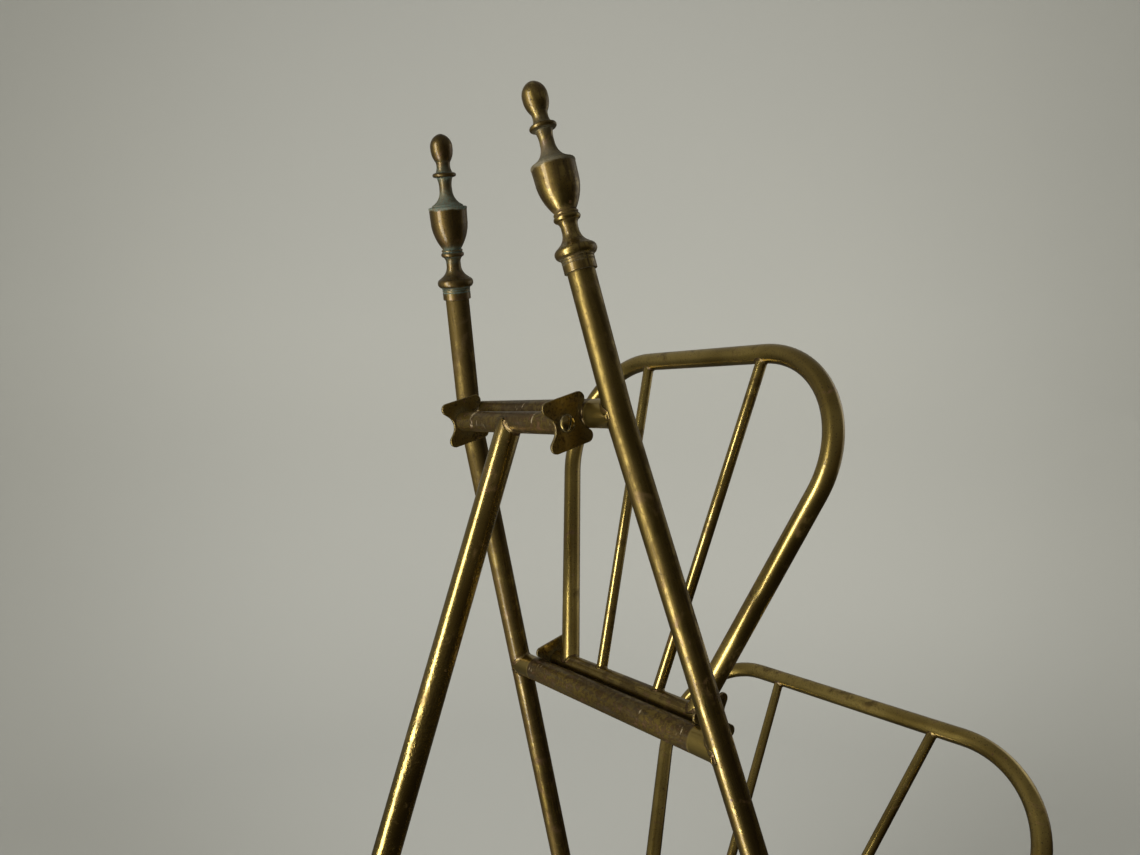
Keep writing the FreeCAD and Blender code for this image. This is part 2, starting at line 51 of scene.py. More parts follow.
# The crossbar that each hinge's plates are brazed to.
HINGE_CROSSBAR = {"leg": "top_crossbar", "upper_fan": "upper_crossbar", "lower_fan": "lower_crossbar"}


# ---------------------------------------------------------------- places read from the frame


def middle(node):
    low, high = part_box(node)
    return (low + high) / 2


def joint_place(name):
    """A joint's place, from the record."""
    joint = next(item for item in frame["joints"] if item["name"] == name)
    return Vector(joint["pos_m"])


def sole_place(name):
    """The middle of a foot's sole, from the record's mounts."""
    mount = next(item for item in frame["record"]["mounts"] if item["name"] == name)
    return Vector(mount["pos_m"])


def crossbar_radius(node):
    low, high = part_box(node)
    return (high.z - low.z) / 2


def crossbar_end(node, side):
    """Where a crossbar's axis meets a post's axis."""
    low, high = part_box(node)
    centre = (low + high) / 2
    return Vector((high.x if side > 0 else low.x, centre.y, centre.z))


TOP_CENTRE = middle("top_crossbar")
LEG_AXIS = joint_place("leg_fold")
FAN_AXIS = {fan: joint_place(f"{fan}_fan_fold") for fan in FANS}
CROSSBAR_RADIUS = crossbar_radius("top_crossbar")
HINGE_RADIUS = crossbar_radius("leg_hinge_tube")
LEG_DIRECTION = (sole_place("rear_foot_sole") - LEG_AXIS).normalized()
# The leg is the posts' tube, and its slanted box is as wide along X as the tube.
POST_RADIUS = (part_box("rear_leg")[1].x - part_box("rear_leg")[0].x) / 2


def post_direction(side):
    return (crossbar_end("lower_crossbar", side) - crossbar_end("top_crossbar", side)).normalized()


def stem_direction(name):
    return (middle(f"collar_{name}") - crossbar_end("top_crossbar", SIDES[name])).normalized()


def fan_top(fan):
    """Middle of a hoop's top bar."""
    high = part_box(f"{fan}_fan_hoop")[1]
    return Vector((0, high.y - HINGE_RADIUS, high.z - HINGE_RADIUS))


def fan_direction(fan):
    return (fan_top(fan) - FAN_AXIS[fan]).normalized()


# ---------------------------------------------------------------- camera

LENS_MM = 25.99
CAMERA_FROM_TOP_BAR = Vector((0.43078, -0.29328, 0.00098))
CAMERA_YAW = math.radians(36.71)
CAMERA_PITCH = math.radians(-1.10)


def make_camera():
    """Level with the top crossbar, behind the rack and to its right. Returns the way it looks."""
    data = bpy.data.cameras.new("camera")
    data.sensor_width = 36.0
    data.lens = LENS_MM
    data.dof.use_dof = False
    camera = bpy.data.objects.new("camera", data)
    bpy.context.scene.collection.objects.link(camera)
    camera.location = TOP_CENTRE + CAMERA_FROM_TOP_BAR
    forward = Vector((
        -math.cos(CAMERA_YAW) * math.cos(CAMERA_PITCH),
        math.sin(CAMERA_YAW) * math.cos(CAMERA_PITCH),
        math.sin(CAMERA_PITCH),
    ))
    camera.rotation_mode = "QUATERNION"
    camera.rotation_quaternion = forward.to_track_quat("-Z", "Y")
    bpy.context.scene.camera = camera
    return forward


# ---------------------------------------------------------------- node trees

RED_CHANNEL = (1.0, 0.0, 0.0)


class Tree:
    """A small helper that adds and links shader nodes."""

    def __init__(self, owner):
        owner.use_nodes = True
        self.nodes = owner.node_tree.nodes
        self.links = owner.node_tree.links
        self.nodes.clear()

    def add(self, kind, inputs=None, **settings):
        node = self.nodes.new(kind)
        for name, value in settings.items():
            setattr(node, name, value)
        for name, value in (inputs or {}).items():
            if isinstance(value, bpy.types.NodeSocket):
                self.links.new(value, node.inputs[name])
            else:
                node.inputs[name].default_value = value
        return node

    def place(self):
        """The object's own coordinates, which are the rack's."""
        return self.add("ShaderNodeTexCoord").outputs["Object"]

    def math(self, operation, first, second=0.0, clamp=False):
        node = self.add("ShaderNodeMath", {0: first, 1: second}, operation=operation, use_clamp=clamp)
        return node.outputs[0]

    def plus(self, first, second, clamp=False):
        return self.math("ADD", first, second, clamp)

    def minus(self, first, second):
        return self.math("SUBTRACT", first, second)

    def times(self, first, second, clamp=False):
        return self.math("MULTIPLY", first, second, clamp)

    def larger(self, first, second):
        return self.math("MAXIMUM", first, second)

    def centred(self, value, factor):
        """A noise taken about its middle value."""
        return self.times(self.minus(value, 0.5), factor)

    def vector_math(self, operation, first, second=(0.0, 0.0, 0.0)):
        if not isinstance(second, bpy.types.NodeSocket):
            second = tuple(second)
        return self.add("ShaderNodeVectorMath", {0: first, 1: second}, operation=operation)

    def dot(self, vector, direction):
        return self.vector_math("DOT_PRODUCT", vector, direction).outputs["Value"]

    def scaled(self, vector, scale):
        return self.vector_math("MULTIPLY", vector, scale).outputs["Vector"]

    def moved(self, vector, offset):
        return self.vector_math("ADD", vector, offset).outputs["Vector"]

    def noise_node(self, vector, scale, detail=2.0, rough=0.5, distortion=0.0):
        inputs = {
            "Vector": vector, "Scale": scale, "Detail": detail,
            "Roughness": rough, "Distortion": distortion,
        }
        return self.add("ShaderNodeTexNoise", inputs)

    def noise(self, vector, scale, detail=3.0, rough=0.55, distortion=0.0):
        return self.noise_node(vector, scale, detail, rough, distortion).outputs["Fac"]

    def step(self, value, start, end, low=0.0, high=1.0):
        """A smooth step from low to high as value goes from start to end."""
        inputs = {"Value": value, "From Min": start, "From Max": end, "To Min": low, "To Max": high}
        return self.add("ShaderNodeMapRange", inputs, interpolation_type="SMOOTHSTEP").outputs["Result"]

    def mix(self, factor, first, second):
        """A colour between two."""
        inputs = {"Factor": factor, 6: first, 7: second}
        return self.add("ShaderNodeMix", inputs, data_type="RGBA").outputs[2]

    def along(self, place, direction, stretch):
        """Coordinates squeezed along a direction, so that a noise in them runs in streaks."""
        direction = Vector(direction).normalized()
        first = direction.orthogonal().normalized()
        second = direction.cross(first)
        combine = self.add("ShaderNodeCombineXYZ", {
            "X": self.dot(place, first),
            "Y": self.dot(place, second),
            "Z": self.times(self.dot(place, direction), 1.0 / stretch),
        })
        return combine.outputs["Vector"]

    def own_pattern(self, place, seed):
        """The same coordinates moved, so that two pieces don't share one pattern."""
        return self.moved(place, (seed, seed * 0.7, seed * 1.3))

    def spots(self, place, spacing, radius, share):
        """1 inside small round spots, of which only that share of the places has one."""
        inputs = {"Vector": place, "Scale": 1.0 / spacing, "Randomness": 1.0}
        cells = self.add("ShaderNodeTexVoronoi", inputs, feature="F1")
        chance = self.dot(cells.outputs["Color"], RED_CHANNEL)
        chosen = self.math("GREATER_THAN", chance, 1.0 - share)
        edge = radius / spacing
        return self.times(chosen, self.step(cells.outputs["Distance"], edge, edge * 0.55))

    def rubbed_edges(self, strength):
        """1 on a piece's corners, where handling keeps the metal bright."""
        rounded = self.add("ShaderNodeBevel", {"Radius": 0.9 * MM}, samples=4).outputs["Normal"]
        flat = self.add("ShaderNodeNewGeometry").outputs["Normal"]
        return self.times(self.step(self.dot(rounded, flat), 0.985, 0.86), strength)


def rgb(red, green, blue):
    return (red, green, blue, 1.0)


# ---------------------------------------------------------------- brass

BRIGHT_BRASS = rgb(0.47, 0.355, 0.105)
OLIVE_BRASS = rgb(0.240, 0.170, 0.040)
BROWN_TARNISH = rgb(0.105, 0.067, 0.020)
# The olive that the colour darkens to at the dull end of a stretch.
DULLING_OLIVE = rgb(0.098, 0.070, 0.023)
DARK_BROWN = rgb(0.068, 0.042, 0.016)
RED_TARNISH = rgb(0.190, 0.098, 0.052)
RED_SPOT = rgb(0.085, 0.032, 0.016)
PURPLE_TARNISH = rgb(0.128, 0.088, 0.042)
GREY_FILM = rgb(0.125, 0.118, 0.084)
BLACK_OXIDE = rgb(0.030, 0.022, 0.014)
VERDIGRIS = rgb(0.110, 0.158, 0.132)
RUBBED_METAL = rgb(0.80, 0.66, 0.42)

OLD_LACQUER = 0.55
LACQUER_ROUGHNESS = 0.12
BUMP_STRENGTH = 0.4

# How fine the brass's patterns are: noise scales, per metre.
CLOUDS = 16.0
STAINS = 60.0
PATCHES = 85.0
WARPS = 400.0
STREAKS = 480.0
PEBBLES = 640.0
SPECKS = 900.0
# The same on brass that the torch has browned.
TORCH_CLOUDS = 30.0
WORN_SPOTS = 150.0
MOTTLES = 260.0
GRAIN = 380.0
NICKS = 520.0
SCALE = 620.0


class Metal:
    """The colour, metal, roughness and lacquer of a brass surface while its layers are laid on."""

    def __init__(self, tree, colour, metal, roughness, lacquer):
        self.tree = tree
        self.colour = colour
        self.metal = metal
        self.roughness = roughness
        self.lacquer = lacquer

    def stain(self, amount, colour):
        self.colour = self.tree.mix(amount, self.colour, colour)

    def wear_lacquer(self, amount, worn_at, left):
        """Takes the lacquer down to what is left of it where amount reaches worn_at."""
        self.lacquer = self.tree.times(self.lacquer, self.tree.step(amount, 0.0, worn_at, 1.0, left))

    def roughen(self, amount, extra):
        self.roughness = self.tree.plus(self.roughness, self.tree.times(amount, extra))

    def crust(self, amount, colour, metal_left, extra_roughness):
        """A dry crust on the metal. amount is 0 where there is none and 1 where it is thick."""
        self.stain(amount, colour)
        self.metal = self.tree.times(self.metal, self.tree.step(amount, 0.0, 1.0, 1.0, metal_left))
        self.roughen(amount, extra_roughness)
        self.wear_lacquer(amount, 0.6, 0.0)

    def finish(self, relief, depth):
        """The material's shader, with what is left of a thin clear lacquer over the metal."""
        inputs = {"Height": relief, "Strength": BUMP_STRENGTH, "Distance": depth}
        bump = self.tree.add("ShaderNodeBump", inputs)
        shader = self.tree.add("ShaderNodeBsdfPrincipled", {
            "Base Color": self.colour,
            "Metallic": self.metal,
            "Roughness": self.roughness,
            "Normal": bump.outputs["Normal"],
            "Coat Weight": self.lacquer,
            "Coat Roughness": LACQUER_ROUGHNESS,
        })
        self.tree.add("ShaderNodeOutputMaterial", {"Surface": shader.outputs["BSDF"]})


def aged_brass(
    name, direction, tarnish, rough, dark=0.0, crevice=0.0, green=0.5, edges=0.0, pebble=0.03,
    streaks=1.0, band=None, dull=None, smooth=None, seed=0.0,
):
    """Old brass: metal under an uneven olive and brown tarnish, with specks, pits, fine streaks along the
    piece, green and brown in its crevices and bare metal on its edges. Every amount goes from 0 to 1.
    band, dull and smooth are stretches along the direction: (start, end, amount, colour) of a crust,
    (start, end) of the way from dull to the usual shine, and (start, end) of that from smooth to pebbled."""
    material = bpy.data.materials.new(name)
    tree = Tree(material)
    place = tree.place()
    height = tree.dot(place, direction)
    shifted = tree.own_pattern(place, seed)
    cloud = tree.noise(shifted, CLOUDS, 3.0, 0.55)
    patch = tree.noise(shifted, PATCHES, 5.0, 0.62, 0.5)
    streak = tree.noise(tree.along(shifted, direction, 16.0), STREAKS, 3.0, 0.6)
    streak = tree.plus(tree.centred(streak, streaks), 0.5)
    speck = tree.noise(shifted, SPECKS, 2.0, 0.5)
    stain = tree.noise(shifted, STAINS, 6.0, 0.72, 1.0)

    level = tree.plus(tree.times(cloud, 0.5), tree.times(patch, 0.5))
    level = tree.plus(level, tree.centred(streak, 0.34))
    cover = tree.step(level, 0.66 - 0.34 * tarnish, 0.78 - 0.34 * tarnish)
    stained = tree.step(stain, 0.62 - 0.14 * tarnish, 0.72)
    specked = tree.step(speck, 0.62 - 0.05 * tarnish, 0.68)
    warp = tree.scaled(tree.noise_node(shifted, WARPS).outputs["Color"], (MM, MM, MM))
    spotted = tree.spots(tree.moved(shifted, warp), 9.0 * MM, 1.1 * MM, 0.22)

    roughness = tree.plus(tree.times(cover, 0.14), rough - 0.03)
    roughness = tree.plus(roughness, tree.centred(streak, 0.16))
    brass = Metal(
        tree,
        tree.mix(tree.step(cloud, 0.30, 0.70), OLIVE_BRASS, BRIGHT_BRASS),
        tree.times(tree.step(stained, 0.0, 1.0, 1.0, 0.75), tree.step(spotted, 0.0, 1.0, 1.0, 0.4)),
        roughness,
        tree.step(cover, 0.0, 1.0, OLD_LACQUER, 0.7 * OLD_LACQUER),
    )
    brass.stain(tree.times(cover, 0.80), BROWN_TARNISH)
    brass.stain(tree.step(streak, 0.50, 0.66, 0.0, 0.55 * tarnish), DARK_BROWN)
    brass.stain(tree.times(stained, 0.75), RED_TARNISH)
    brass.stain(tree.times(specked, 0.60), BLACK_OXIDE)
    brass.stain(tree.step(cloud, 0.7, 0.3, 0.85 * dark, dark), BLACK_OXIDE)
    brass.stain(tree.times(spotted, 0.85), RED_SPOT)
    brass.roughen(specked, 0.12)

    if dull is not None:
        # Towards the dull end of the stretch the colour darkens to olive, the metal roughens and the lacquer
        # thins.
        dulled = tree.step(height, dull[0], dull[1], 1.0, 0.0)
        brass.stain(tree.times(dulled, 0.72), DULLING_OLIVE)
        brass.roughen(dulled, 0.16)
        brass.wear_lacquer(dulled, 1.0, 0.05)
    if crevice > 0.0:
        hollow = tree.add("ShaderNodeAmbientOcclusion", {"Distance": 5.0 * MM}, samples=4).outputs["AO"]
        sheltered = tree.times(tree.step(hollow, 0.96, 0.70), tree.step(patch, 0.25, 0.52, 0.4, 1.0))
        sheltered = tree.times(sheltered, crevice, clamp=True)
        crust = tree.mix(tree.times(tree.step(cloud, 0.44, 0.56), green), BROWN_TARNISH, VERDIGRIS)
        brass.crust(sheltered, crust, 0.35, 0.30)
    if band is not None:
        start, end, amount, crust_colour = band
        torn = tree.plus(height, tree.centred(patch, 0.2 * (end - start)))
        crusted = tree.times(tree.step(torn, start - 1.5 * MM, start), tree.step(torn, end, start))
        crusted = tree.times(crusted, tree.step(stain, 0.25, 0.55, 0.45 * amount, amount))
        brass.crust(crusted, tree.mix(tree.step(speck, 0.4, 0.6), crust_colour, GREY_FILM), 0.15, 0.35)
    if edges > 0.0:
        brass.stain(tree.times(tree.rubbed_edges(edges), tree.step(patch, 0.36, 0.56)), RUBBED_METAL)

    relief = tree.plus(tree.times(streak, 0.6), tree.times(cover, 0.5))
    relief = tree.minus(relief, tree.times(specked, 0.9))
    relief = tree.minus(relief, tree.times(spotted, 1.2))
    pebbled = tree.times(tree.noise(shifted, PEBBLES, 2.0, 0.5), tree.step(cloud, 0.44, 0.56, 0.15, 1.0))
    if smooth is not None:
        pebbled = tree.times(pebbled, tree.step(height, smooth[0], smooth[1], 0.12, 1.0))
    relief = tree.plus(relief, tree.times(pebbled, 40.0 * pebble))
    brass.finish(relief, 0.035 * MM)
    return material


def mottled_brass(name, rings=(), clean=None, rough=0.38, seed=0.0):
    """Brass browned by the torch: purple and brown mottling under a thin grey film, with bright nicks that
    run round the tube. rings are (place along X, half width, bottom) where the tarnish has been scraped
    off, and the tube is plain golden brass beyond clean, a distance from the middle."""
    material = bpy.data.materials.new(name)
    tree = Tree(material)
    place = tree.place()
    place_x = tree.dot(place, ACROSS)
    shifted = tree.own_pattern(place, seed)
    cloud = tree.noise(shifted, TORCH_CLOUDS, 4.0, 0.6)
    mottle = tree.noise(shifted, MOTTLES, 5.0, 0.70, 0.8)
    scale = tree.noise(shifted, SCALE, 3.0, 0.6)
    grain = tree.noise(tree.along(shifted, ACROSS, 10.0), GRAIN, 3.0, 0.6)
    nick = tree.noise(tree.scaled(shifted, (1.0, 0.22, 0.22)), NICKS, 2.0, 0.5)
    nicked = tree.times(tree.step(nick, 0.66, 0.70), tree.step(cloud, 0.48, 0.62))

    brass = Metal(
        tree,
        tree.mix(tree.step(cloud, 0.40, 0.66), OLIVE_BRASS, PURPLE_TARNISH),
        tree.step(mottle, 0.40, 0.66, 0.95, 0.70),
        tree.plus(tree.centred(mottle, 0.35), rough),
        tree.step(mottle, 0.40, 0.56, 0.5 * OLD_LACQUER, 0.0),
    )
    brass.stain(tree.times(tree.step(mottle, 0.45, 0.53), 0.85), DARK_BROWN)
    brass.stain(tree.times(tree.step(mottle, 0.56, 0.62), 0.45), RED_TARNISH)
    brass.stain(tree.times(tree.step(grain, 0.50, 0.68), 0.28), GREY_FILM)
    brass.stain(tree.times(tree.step(scale, 0.60, 0.68), 0.60), BLACK_OXIDE)
    brass.stain(tree.times(nicked, 0.75), RUBBED_METAL)
    relief = tree.plus(tree.times(mottle, 0.9), tree.times(scale, 0.5))
    relief = tree.minus(relief, tree.times(nicked, 0.5))

    if clean is not None:
        outside = tree.plus(tree.math("ABSOLUTE", place_x), tree.centred(cloud, 6.0 * MM))
        golden = tree.step(outside, clean - MM, clean + MM)
        tarnished = tree.minus(1.0, golden)
        brass.stain(golden, tree.mix(cloud, OLIVE_BRASS, BRIGHT_BRASS))
        brass.lacquer = tree.larger(brass.lacquer, tree.times(golden, OLD_LACQUER))
        brass.metal = tree.larger(brass.metal, golden)
        brass.roughness = tree.plus(tree.times(brass.roughness, tarnished), tree.times(golden, 0.30))
        relief = tree.times(relief, tarnished)
    for ring_x, half_width, bottom in rings:
        away = tree.math("ABSOLUTE", tree.minus(place_x, ring_x))
        above = tree.step(tree.dot(place, UP), bottom, bottom + 2.0 * MM)
        ring = tree.times(tree.step(away, half_width * 0.4, half_width, 1.0, 0.0), above)
        worn = tree.times(ring, tree.step(tree.noise(shifted, WORN_SPOTS, 4.0, 0.7), 0.44, 0.54))
        brass.stain(tree.times(worn, 0.90), RUBBED_METAL)
        brass.metal = tree.larger(brass.metal, worn)
    brass.finish(relief, 0.06 * MM)
    return material


# How far up a finial the urn's rim and the ring above its neck are, as shares of its height.
URN_RIM = 0.545
NECK_RING = 0.74


def finial_brass(name):
    """The left finial's neck is crusted green from the urn's rim up, the right one's has a grey bloom."""
    up = stem_direction(name)
    base = middle(f"collar_{name}").dot(up)
    height = max(vertex.co.dot(up) for vertex in frame["nodes"][f"finial_{name}"].data.vertices) - base
    if name == "left":
        tarnish, dark, green, amount, crust = 1.0, 0.36, 1.0, 1.0, VERDIGRIS
    else:
        tarnish, dark, green, amount, crust = 0.72, 0.20, 0.35, 0.75, GREY_FILM
    return aged_brass(
        f"turned_brass_{name}", up, tarnish, 0.35, dark=dark, crevice=1.0, green=green,
        band=(base + URN_RIM * height, base + NECK_RING * height, amount, crust),
        seed=5.3 * SIDES[name],
    )


# ---------------------------------------------------------------- rubber

BLACK_RUBBER = rgb(0.018, 0.017, 0.016)
RUBBER_DUST = rgb(0.10, 0.092, 0.080)


def dusty_rubber():
    """Moulded black rubber, dusty near the floor."""
    material = bpy.data.materials.new("foot_rubber")
    tree = Tree(material)
    place = tree.place()
    dust = tree.noise(place, 140.0, 5.0, 0.65)
    grain = tree.noise(place, 1600.0, 2.0)
    low = tree.step(tree.dot(place, UP), 12.0 * MM, 0.0)
    dusty = tree.times(tree.plus(tree.step(dust, 0.42, 0.70), low, clamp=True), 0.45)
    bump = tree.add("ShaderNodeBump", {"Height": grain, "Strength": BUMP_STRENGTH, "Distance": 0.08 * MM})
    shader = tree.add("ShaderNodeBsdfPrincipled", {
        "Base Color": tree.mix(dusty, BLACK_RUBBER, RUBBER_DUST),
        "Roughness": tree.step(dust, 0.3, 0.7, 0.55, 0.80),
        "Normal": bump.outputs["Normal"],
        "Specular IOR Level": 0.35,
    })
    tree.add("ShaderNodeOutputMaterial", {"Surface": shader.outputs["BSDF"]})
    return material


# ---------------------------------------------------------------- which node has which material


def paint(node, material):
    data = frame["nodes"][node].data
    data.materials.clear()
    data.materials.append(material)


def paint_posts():
    """Each post is darker, rougher and less lacquered near its collar, and shinier further down. The left one is
    darker.
    """
    for name, side in SIDES.items():
        down = post_direction(side)
        collar = middle(f"collar_{name}").dot(down)
        post = aged_brass(
            f"post_brass_{name}", down, 0.70 - 0.10 * side, 0.34 - 0.07 * side, dark=0.12 - 0.12 * side,
            pebble=0.08, dull=(collar + 0.10, collar + 0.32), seed=3.1 * side,
        )
        paint(f"post_{name}", post)
        turned = finial_brass(name)
        paint(f"finial_{name}", turned)
        paint(f"collar_{name}", turned)


def paint_leg():
    """The leg is pitted from a little below its hinge tube, and that tube has two scraped rings."""
    top = LEG_AXIS.dot(LEG_DIRECTION)
    leg = aged_brass(
        "leg_brass", LEG_DIRECTION, 0.45, 0.24, pebble=0.8, smooth=(top + 0.06, top + 0.26), seed=1.7,
    )
    paint("rear_leg", leg)
    low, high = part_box("leg_hinge_tube")
    wide_ring = (low.x + 19.5 * MM, 2.0 * MM, LEG_AXIS.z - 4.0 * MM)
    thin_ring = (high.x - 23.5 * MM, 0.8 * MM, LEG_AXIS.z - 1.0 * MM)
    paint("leg_hinge_tube", mottled_brass("hinge_brass", (wide_ring, thin_ring), seed=2.3))


def paint_crossbars():
    """The crossbars are browned between the hinge plates and golden outside them."""
    for hinge, crossbar in HINGE_CROSSBAR.items():
        plate_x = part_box(f"{hinge}_plate_right")[1].x
        paint(crossbar, mottled_brass(f"{crossbar}_brass", clean=plate_x + 2 * MM, seed=7.9))


def paint_fans():
    for fan in FANS:
        up = fan_direction(fan)
        hoop = aged_brass(f"{fan}_hoop_brass", up, 0.40, 0.31, streaks=0.25, seed=1.9 * len(fan))
        paint(f"{fan}_fan_hoop", hoop)
        rod = aged_brass(f"{fan}_rod_brass", up, 0.40, 0.27, pebble=0.0, streaks=0.4, seed=4.4)
        for name in SIDES:
            paint(f"{fan}_fan_rod_{name}", rod)
        paint(f"{fan}_fan_base_tube", aged_brass(f"{fan}_base_brass", ACROSS, 0.65, 0.32, seed=8.8))


def paint_hinges():
    plate = aged_brass("plate_brass", ACROSS, 0.50, 0.40, dark=0.32, crevice=0.5, edges=0.6, seed=9.1)
    screw = aged_brass("screw_brass", ACROSS, 0.55, 0.24, dark=0.15, crevice=0.8, edges=1.0, seed=6.6)
    for hinge in HINGE_CROSSBAR:
        for name in SIDES:
            paint(f"{hinge}_plate_{name}", plate)
        paint(f"{hinge}_hinge_screws", screw)
        paint(f"{hinge}_hinge_plugs", screw)


def paint_feet():
    rubber = dusty_rubber()
    for foot in FEET:
        paint(foot, rubber)


# ---------------------------------------------------------------- brazed joints

# A vertex is on a tube's surface if it is this near to it, and its normal is along the tube's radius if
# the two agree this well.
ON_TUBE = 0.06 * MM
ALONG_RADIUS = 0.995
# Rounds in which the way that a coped tube leaves its joint is found from its normals.
AIM_ROUNDS = 12
BEAD_TURNS = 72
BEAD_SHARES = (0.0, 0.25, 0.5, 0.75, 1.0)
# How far a fillet's edges and its inner corner sink into the tubes, and how full its middle is.
BEAD_SINK = 0.08 * MM
BEAD_ROOT = 0.35 * MM
BEAD_BELLY = 0.10 * MM
# Fillet widths at the posts, at the leg, round the hoops' feet and round the rods' ends.
POST_BEAD = 1.7 * MM
LEG_BEAD = 1.8 * MM
HOOP_BEAD = 1.7 * MM
ROD_BEAD = 1.3 * MM
PLATE_BEAD = 1.5 * MM
PLATE_BEAD_STEPS = 28
PLATE_BEAD_HALF_ANGLE = math.radians(52.0)
WOBBLES = 260.0


def from_line(point, start, direction):
    """The part of a point's offset from a line that is square to the line."""
    offset = point - start
    return offset - direction * offset.dot(direction)


def cope_vertices(node, near, reach, start, direction, radius):
    """(point, normal) of the vertices round a tube's coped end, where it meets a tube of that radius. The
    cope's own face shares those points, and its normals, which point at the other tube, are left out."""
    found = []
    for vertex in frame["nodes"][node].data.vertices:
        point = vertex.co
        if (point - near).length > reach:
            continue
        outward = from_line(point, start, direction)
        if abs(outward.length - radius) > ON_TUBE:
            continue
        if abs(vertex.normal.dot(outward.normalized())) < ALONG_RADIUS:
            found.append((point.copy(), vertex.normal.copy()))
    return found


def coped_edge(node, near, reach, start, direction, radius):
    """The outer edge of a tube's coped end: its points and outward normals, in order round the tube, and
    the way the tube leaves the joint. The tube that it meets runs from start along direction."""
    found = cope_vertices(node, near, reach, start, direction, radius)
    centre = sum((point for point, normal in found), Vector()) / len(found)
    found = [(point, normal) for point, normal in found if normal.dot(point - centre) > 0]
    away = from_line(centre, start, direction).normalized()
    for _ in range(AIM_ROUNDS):
        drift = sum((normal * normal.dot(away) for point, normal in found), Vector())
        away = (away - drift / len(found)).normalized()
    first = away.orthogonal().normalized()
    second = away.cross(first)

    def angle(item):
        offset = item[0] - centre
        return math.atan2(offset.dot(second), offset.dot(first))

    found.sort(key=angle)
    angles = [angle(item) for item in found]
    points, normals = [], []
    for turn in range(BEAD_TURNS):
        wanted = -math.pi + 2 * math.pi * (turn + 0.5) / BEAD_TURNS
        after = next((n for n, value in enumerate(angles) if value >= wanted), 0)
        before = after - 1
        span = (angles[after] - angles[before]) % (2 * math.pi)
        share = ((wanted - angles[before]) % (2 * math.pi)) / span if span > 1e-9 else 0.0
        points.append(found[before][0].lerp(found[after][0], share))
        normals.append(found[before][1].lerp(found[after][1], share).normalized())
    return points, normals, away


def bead_section(point, along, own, other, away, width):
    """Points round a fillet of braze in the corner between two tubes, the last one inside the metal.
    own and other are the two tubes' outward directions."""
    up_own = along.cross(own).normalized()
    if up_own.dot(away) < 0:
        up_own = -up_own
    up_other = along.cross(other).normalized()
    if up_other.dot(own - away * 0.5) < 0:
        up_other = -up_other
    start = point + up_own * width - own * BEAD_SINK
    end = point + up_other * width - other * BEAD_SINK
    corner = point + (own + other) * BEAD_BELLY
    section = []
    for share in BEAD_SHARES:
        rest = 1.0 - share
        section.append(start * rest * rest + corner * 2 * rest * share + end * share * share)
    section.append(point - (own + other) * BEAD_ROOT)
    return section


def skin(name, sections, closed, body, material):
    """A closed solid over a row of sections with the same number of points."""
    mesh = bmesh.new()
    rows = [[mesh.verts.new(point) for point in section] for section in sections]
    pairs = list(zip(rows, rows[1:]))
    if closed:
        pairs.append((rows[-1], rows[0]))
    for row, after in pairs:
        for number in range(len(row)):
            nearby = (number + 1) % len(row)
            mesh.faces.new((row[number], row[nearby], after[nearby], after[number]))
    if not closed:
        mesh.faces.new(rows[0])
        mesh.faces.new(rows[-1])
    bmesh.ops.recalc_face_normals(mesh, faces=mesh.faces)
    data = bpy.data.meshes.new(name)
    mesh.to_mesh(data)
    mesh.free()
    data.shade_smooth()
    data.materials.append(material)
    piece = bpy.data.objects.new(name, data)
    bpy.context.scene.collection.objects.link(piece)
    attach(piece, body)
    return piece


def braze(name, node, near, start, direction, radius, width, body, material, reach=3.0):
    """A hand-laid fillet of braze round a tube's coped end. reach, in radii of the tube that it meets, is
    how far from near the end's edge may be."""
    points, normals, away = coped_edge(node, near, reach * radius, start, direction, radius)
    sections = []
    for turn, point in enumerate(points):
        along = points[(turn + 1) % BEAD_TURNS] - points[turn - 1]
        other = from_line(point, start, direction).normalized()
        wobble = 1.0 + 0.55 * noise.noise(point * WOBBLES)
        sections.append(bead_section(point, along, normals[turn], other, away, width * wobble))
    skin(name, sections, True, body, material)


def braze_plate(name, plate, crossbar, material):
    """Fillets of braze along both faces of a plate, where its notch sits on the crossbar."""
    low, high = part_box(plate)
    centre = middle(crossbar)
    toward = middle(plate) - centre
    heading = math.atan2(toward.z, toward.y)
    for face, x, outward in (("inner", low.x, -1.0), ("outer", high.x, 1.0)):
        sections = []
        for step in range(PLATE_BEAD_STEPS + 1):
            share = 2.0 * step / PLATE_BEAD_STEPS - 1.0
            angle = heading + share * PLATE_BEAD_HALF_ANGLE
            out = Vector((0.0, math.cos(angle), math.sin(angle)))
            point = Vector((x, centre.y, centre.z)) + out * CROSSBAR_RADIUS
            thinning = 1.0 - 0.75 * share ** 6
            width = PLATE_BEAD * (1.0 + 0.5 * noise.noise(point * WOBBLES)) * thinning
            along = Vector((0.0, -out.z, out.y))
            sections.append(bead_section(point, along, ACROSS * outward, out, out, width))
        skin(f"{name}_{face}", sections, False, "front_frame", material)


def braze_crossbars(material):
    for crossbar in HINGE_CROSSBAR.values():
        for name, side in SIDES.items():
            braze(
                f"braze_{crossbar}_{name}", crossbar, crossbar_end(crossbar, side),
                crossbar_end("top_crossbar", side), post_direction(side), POST_RADIUS, POST_BEAD,
                "front_frame", material,
            )


def braze_leg(material):
    braze(
        "braze_rear_leg", "rear_leg", LEG_AXIS, LEG_AXIS, ACROSS, HINGE_RADIUS, LEG_BEAD,
        "rear_leg", material, reach=3.0 * POST_RADIUS / HINGE_RADIUS,
    )


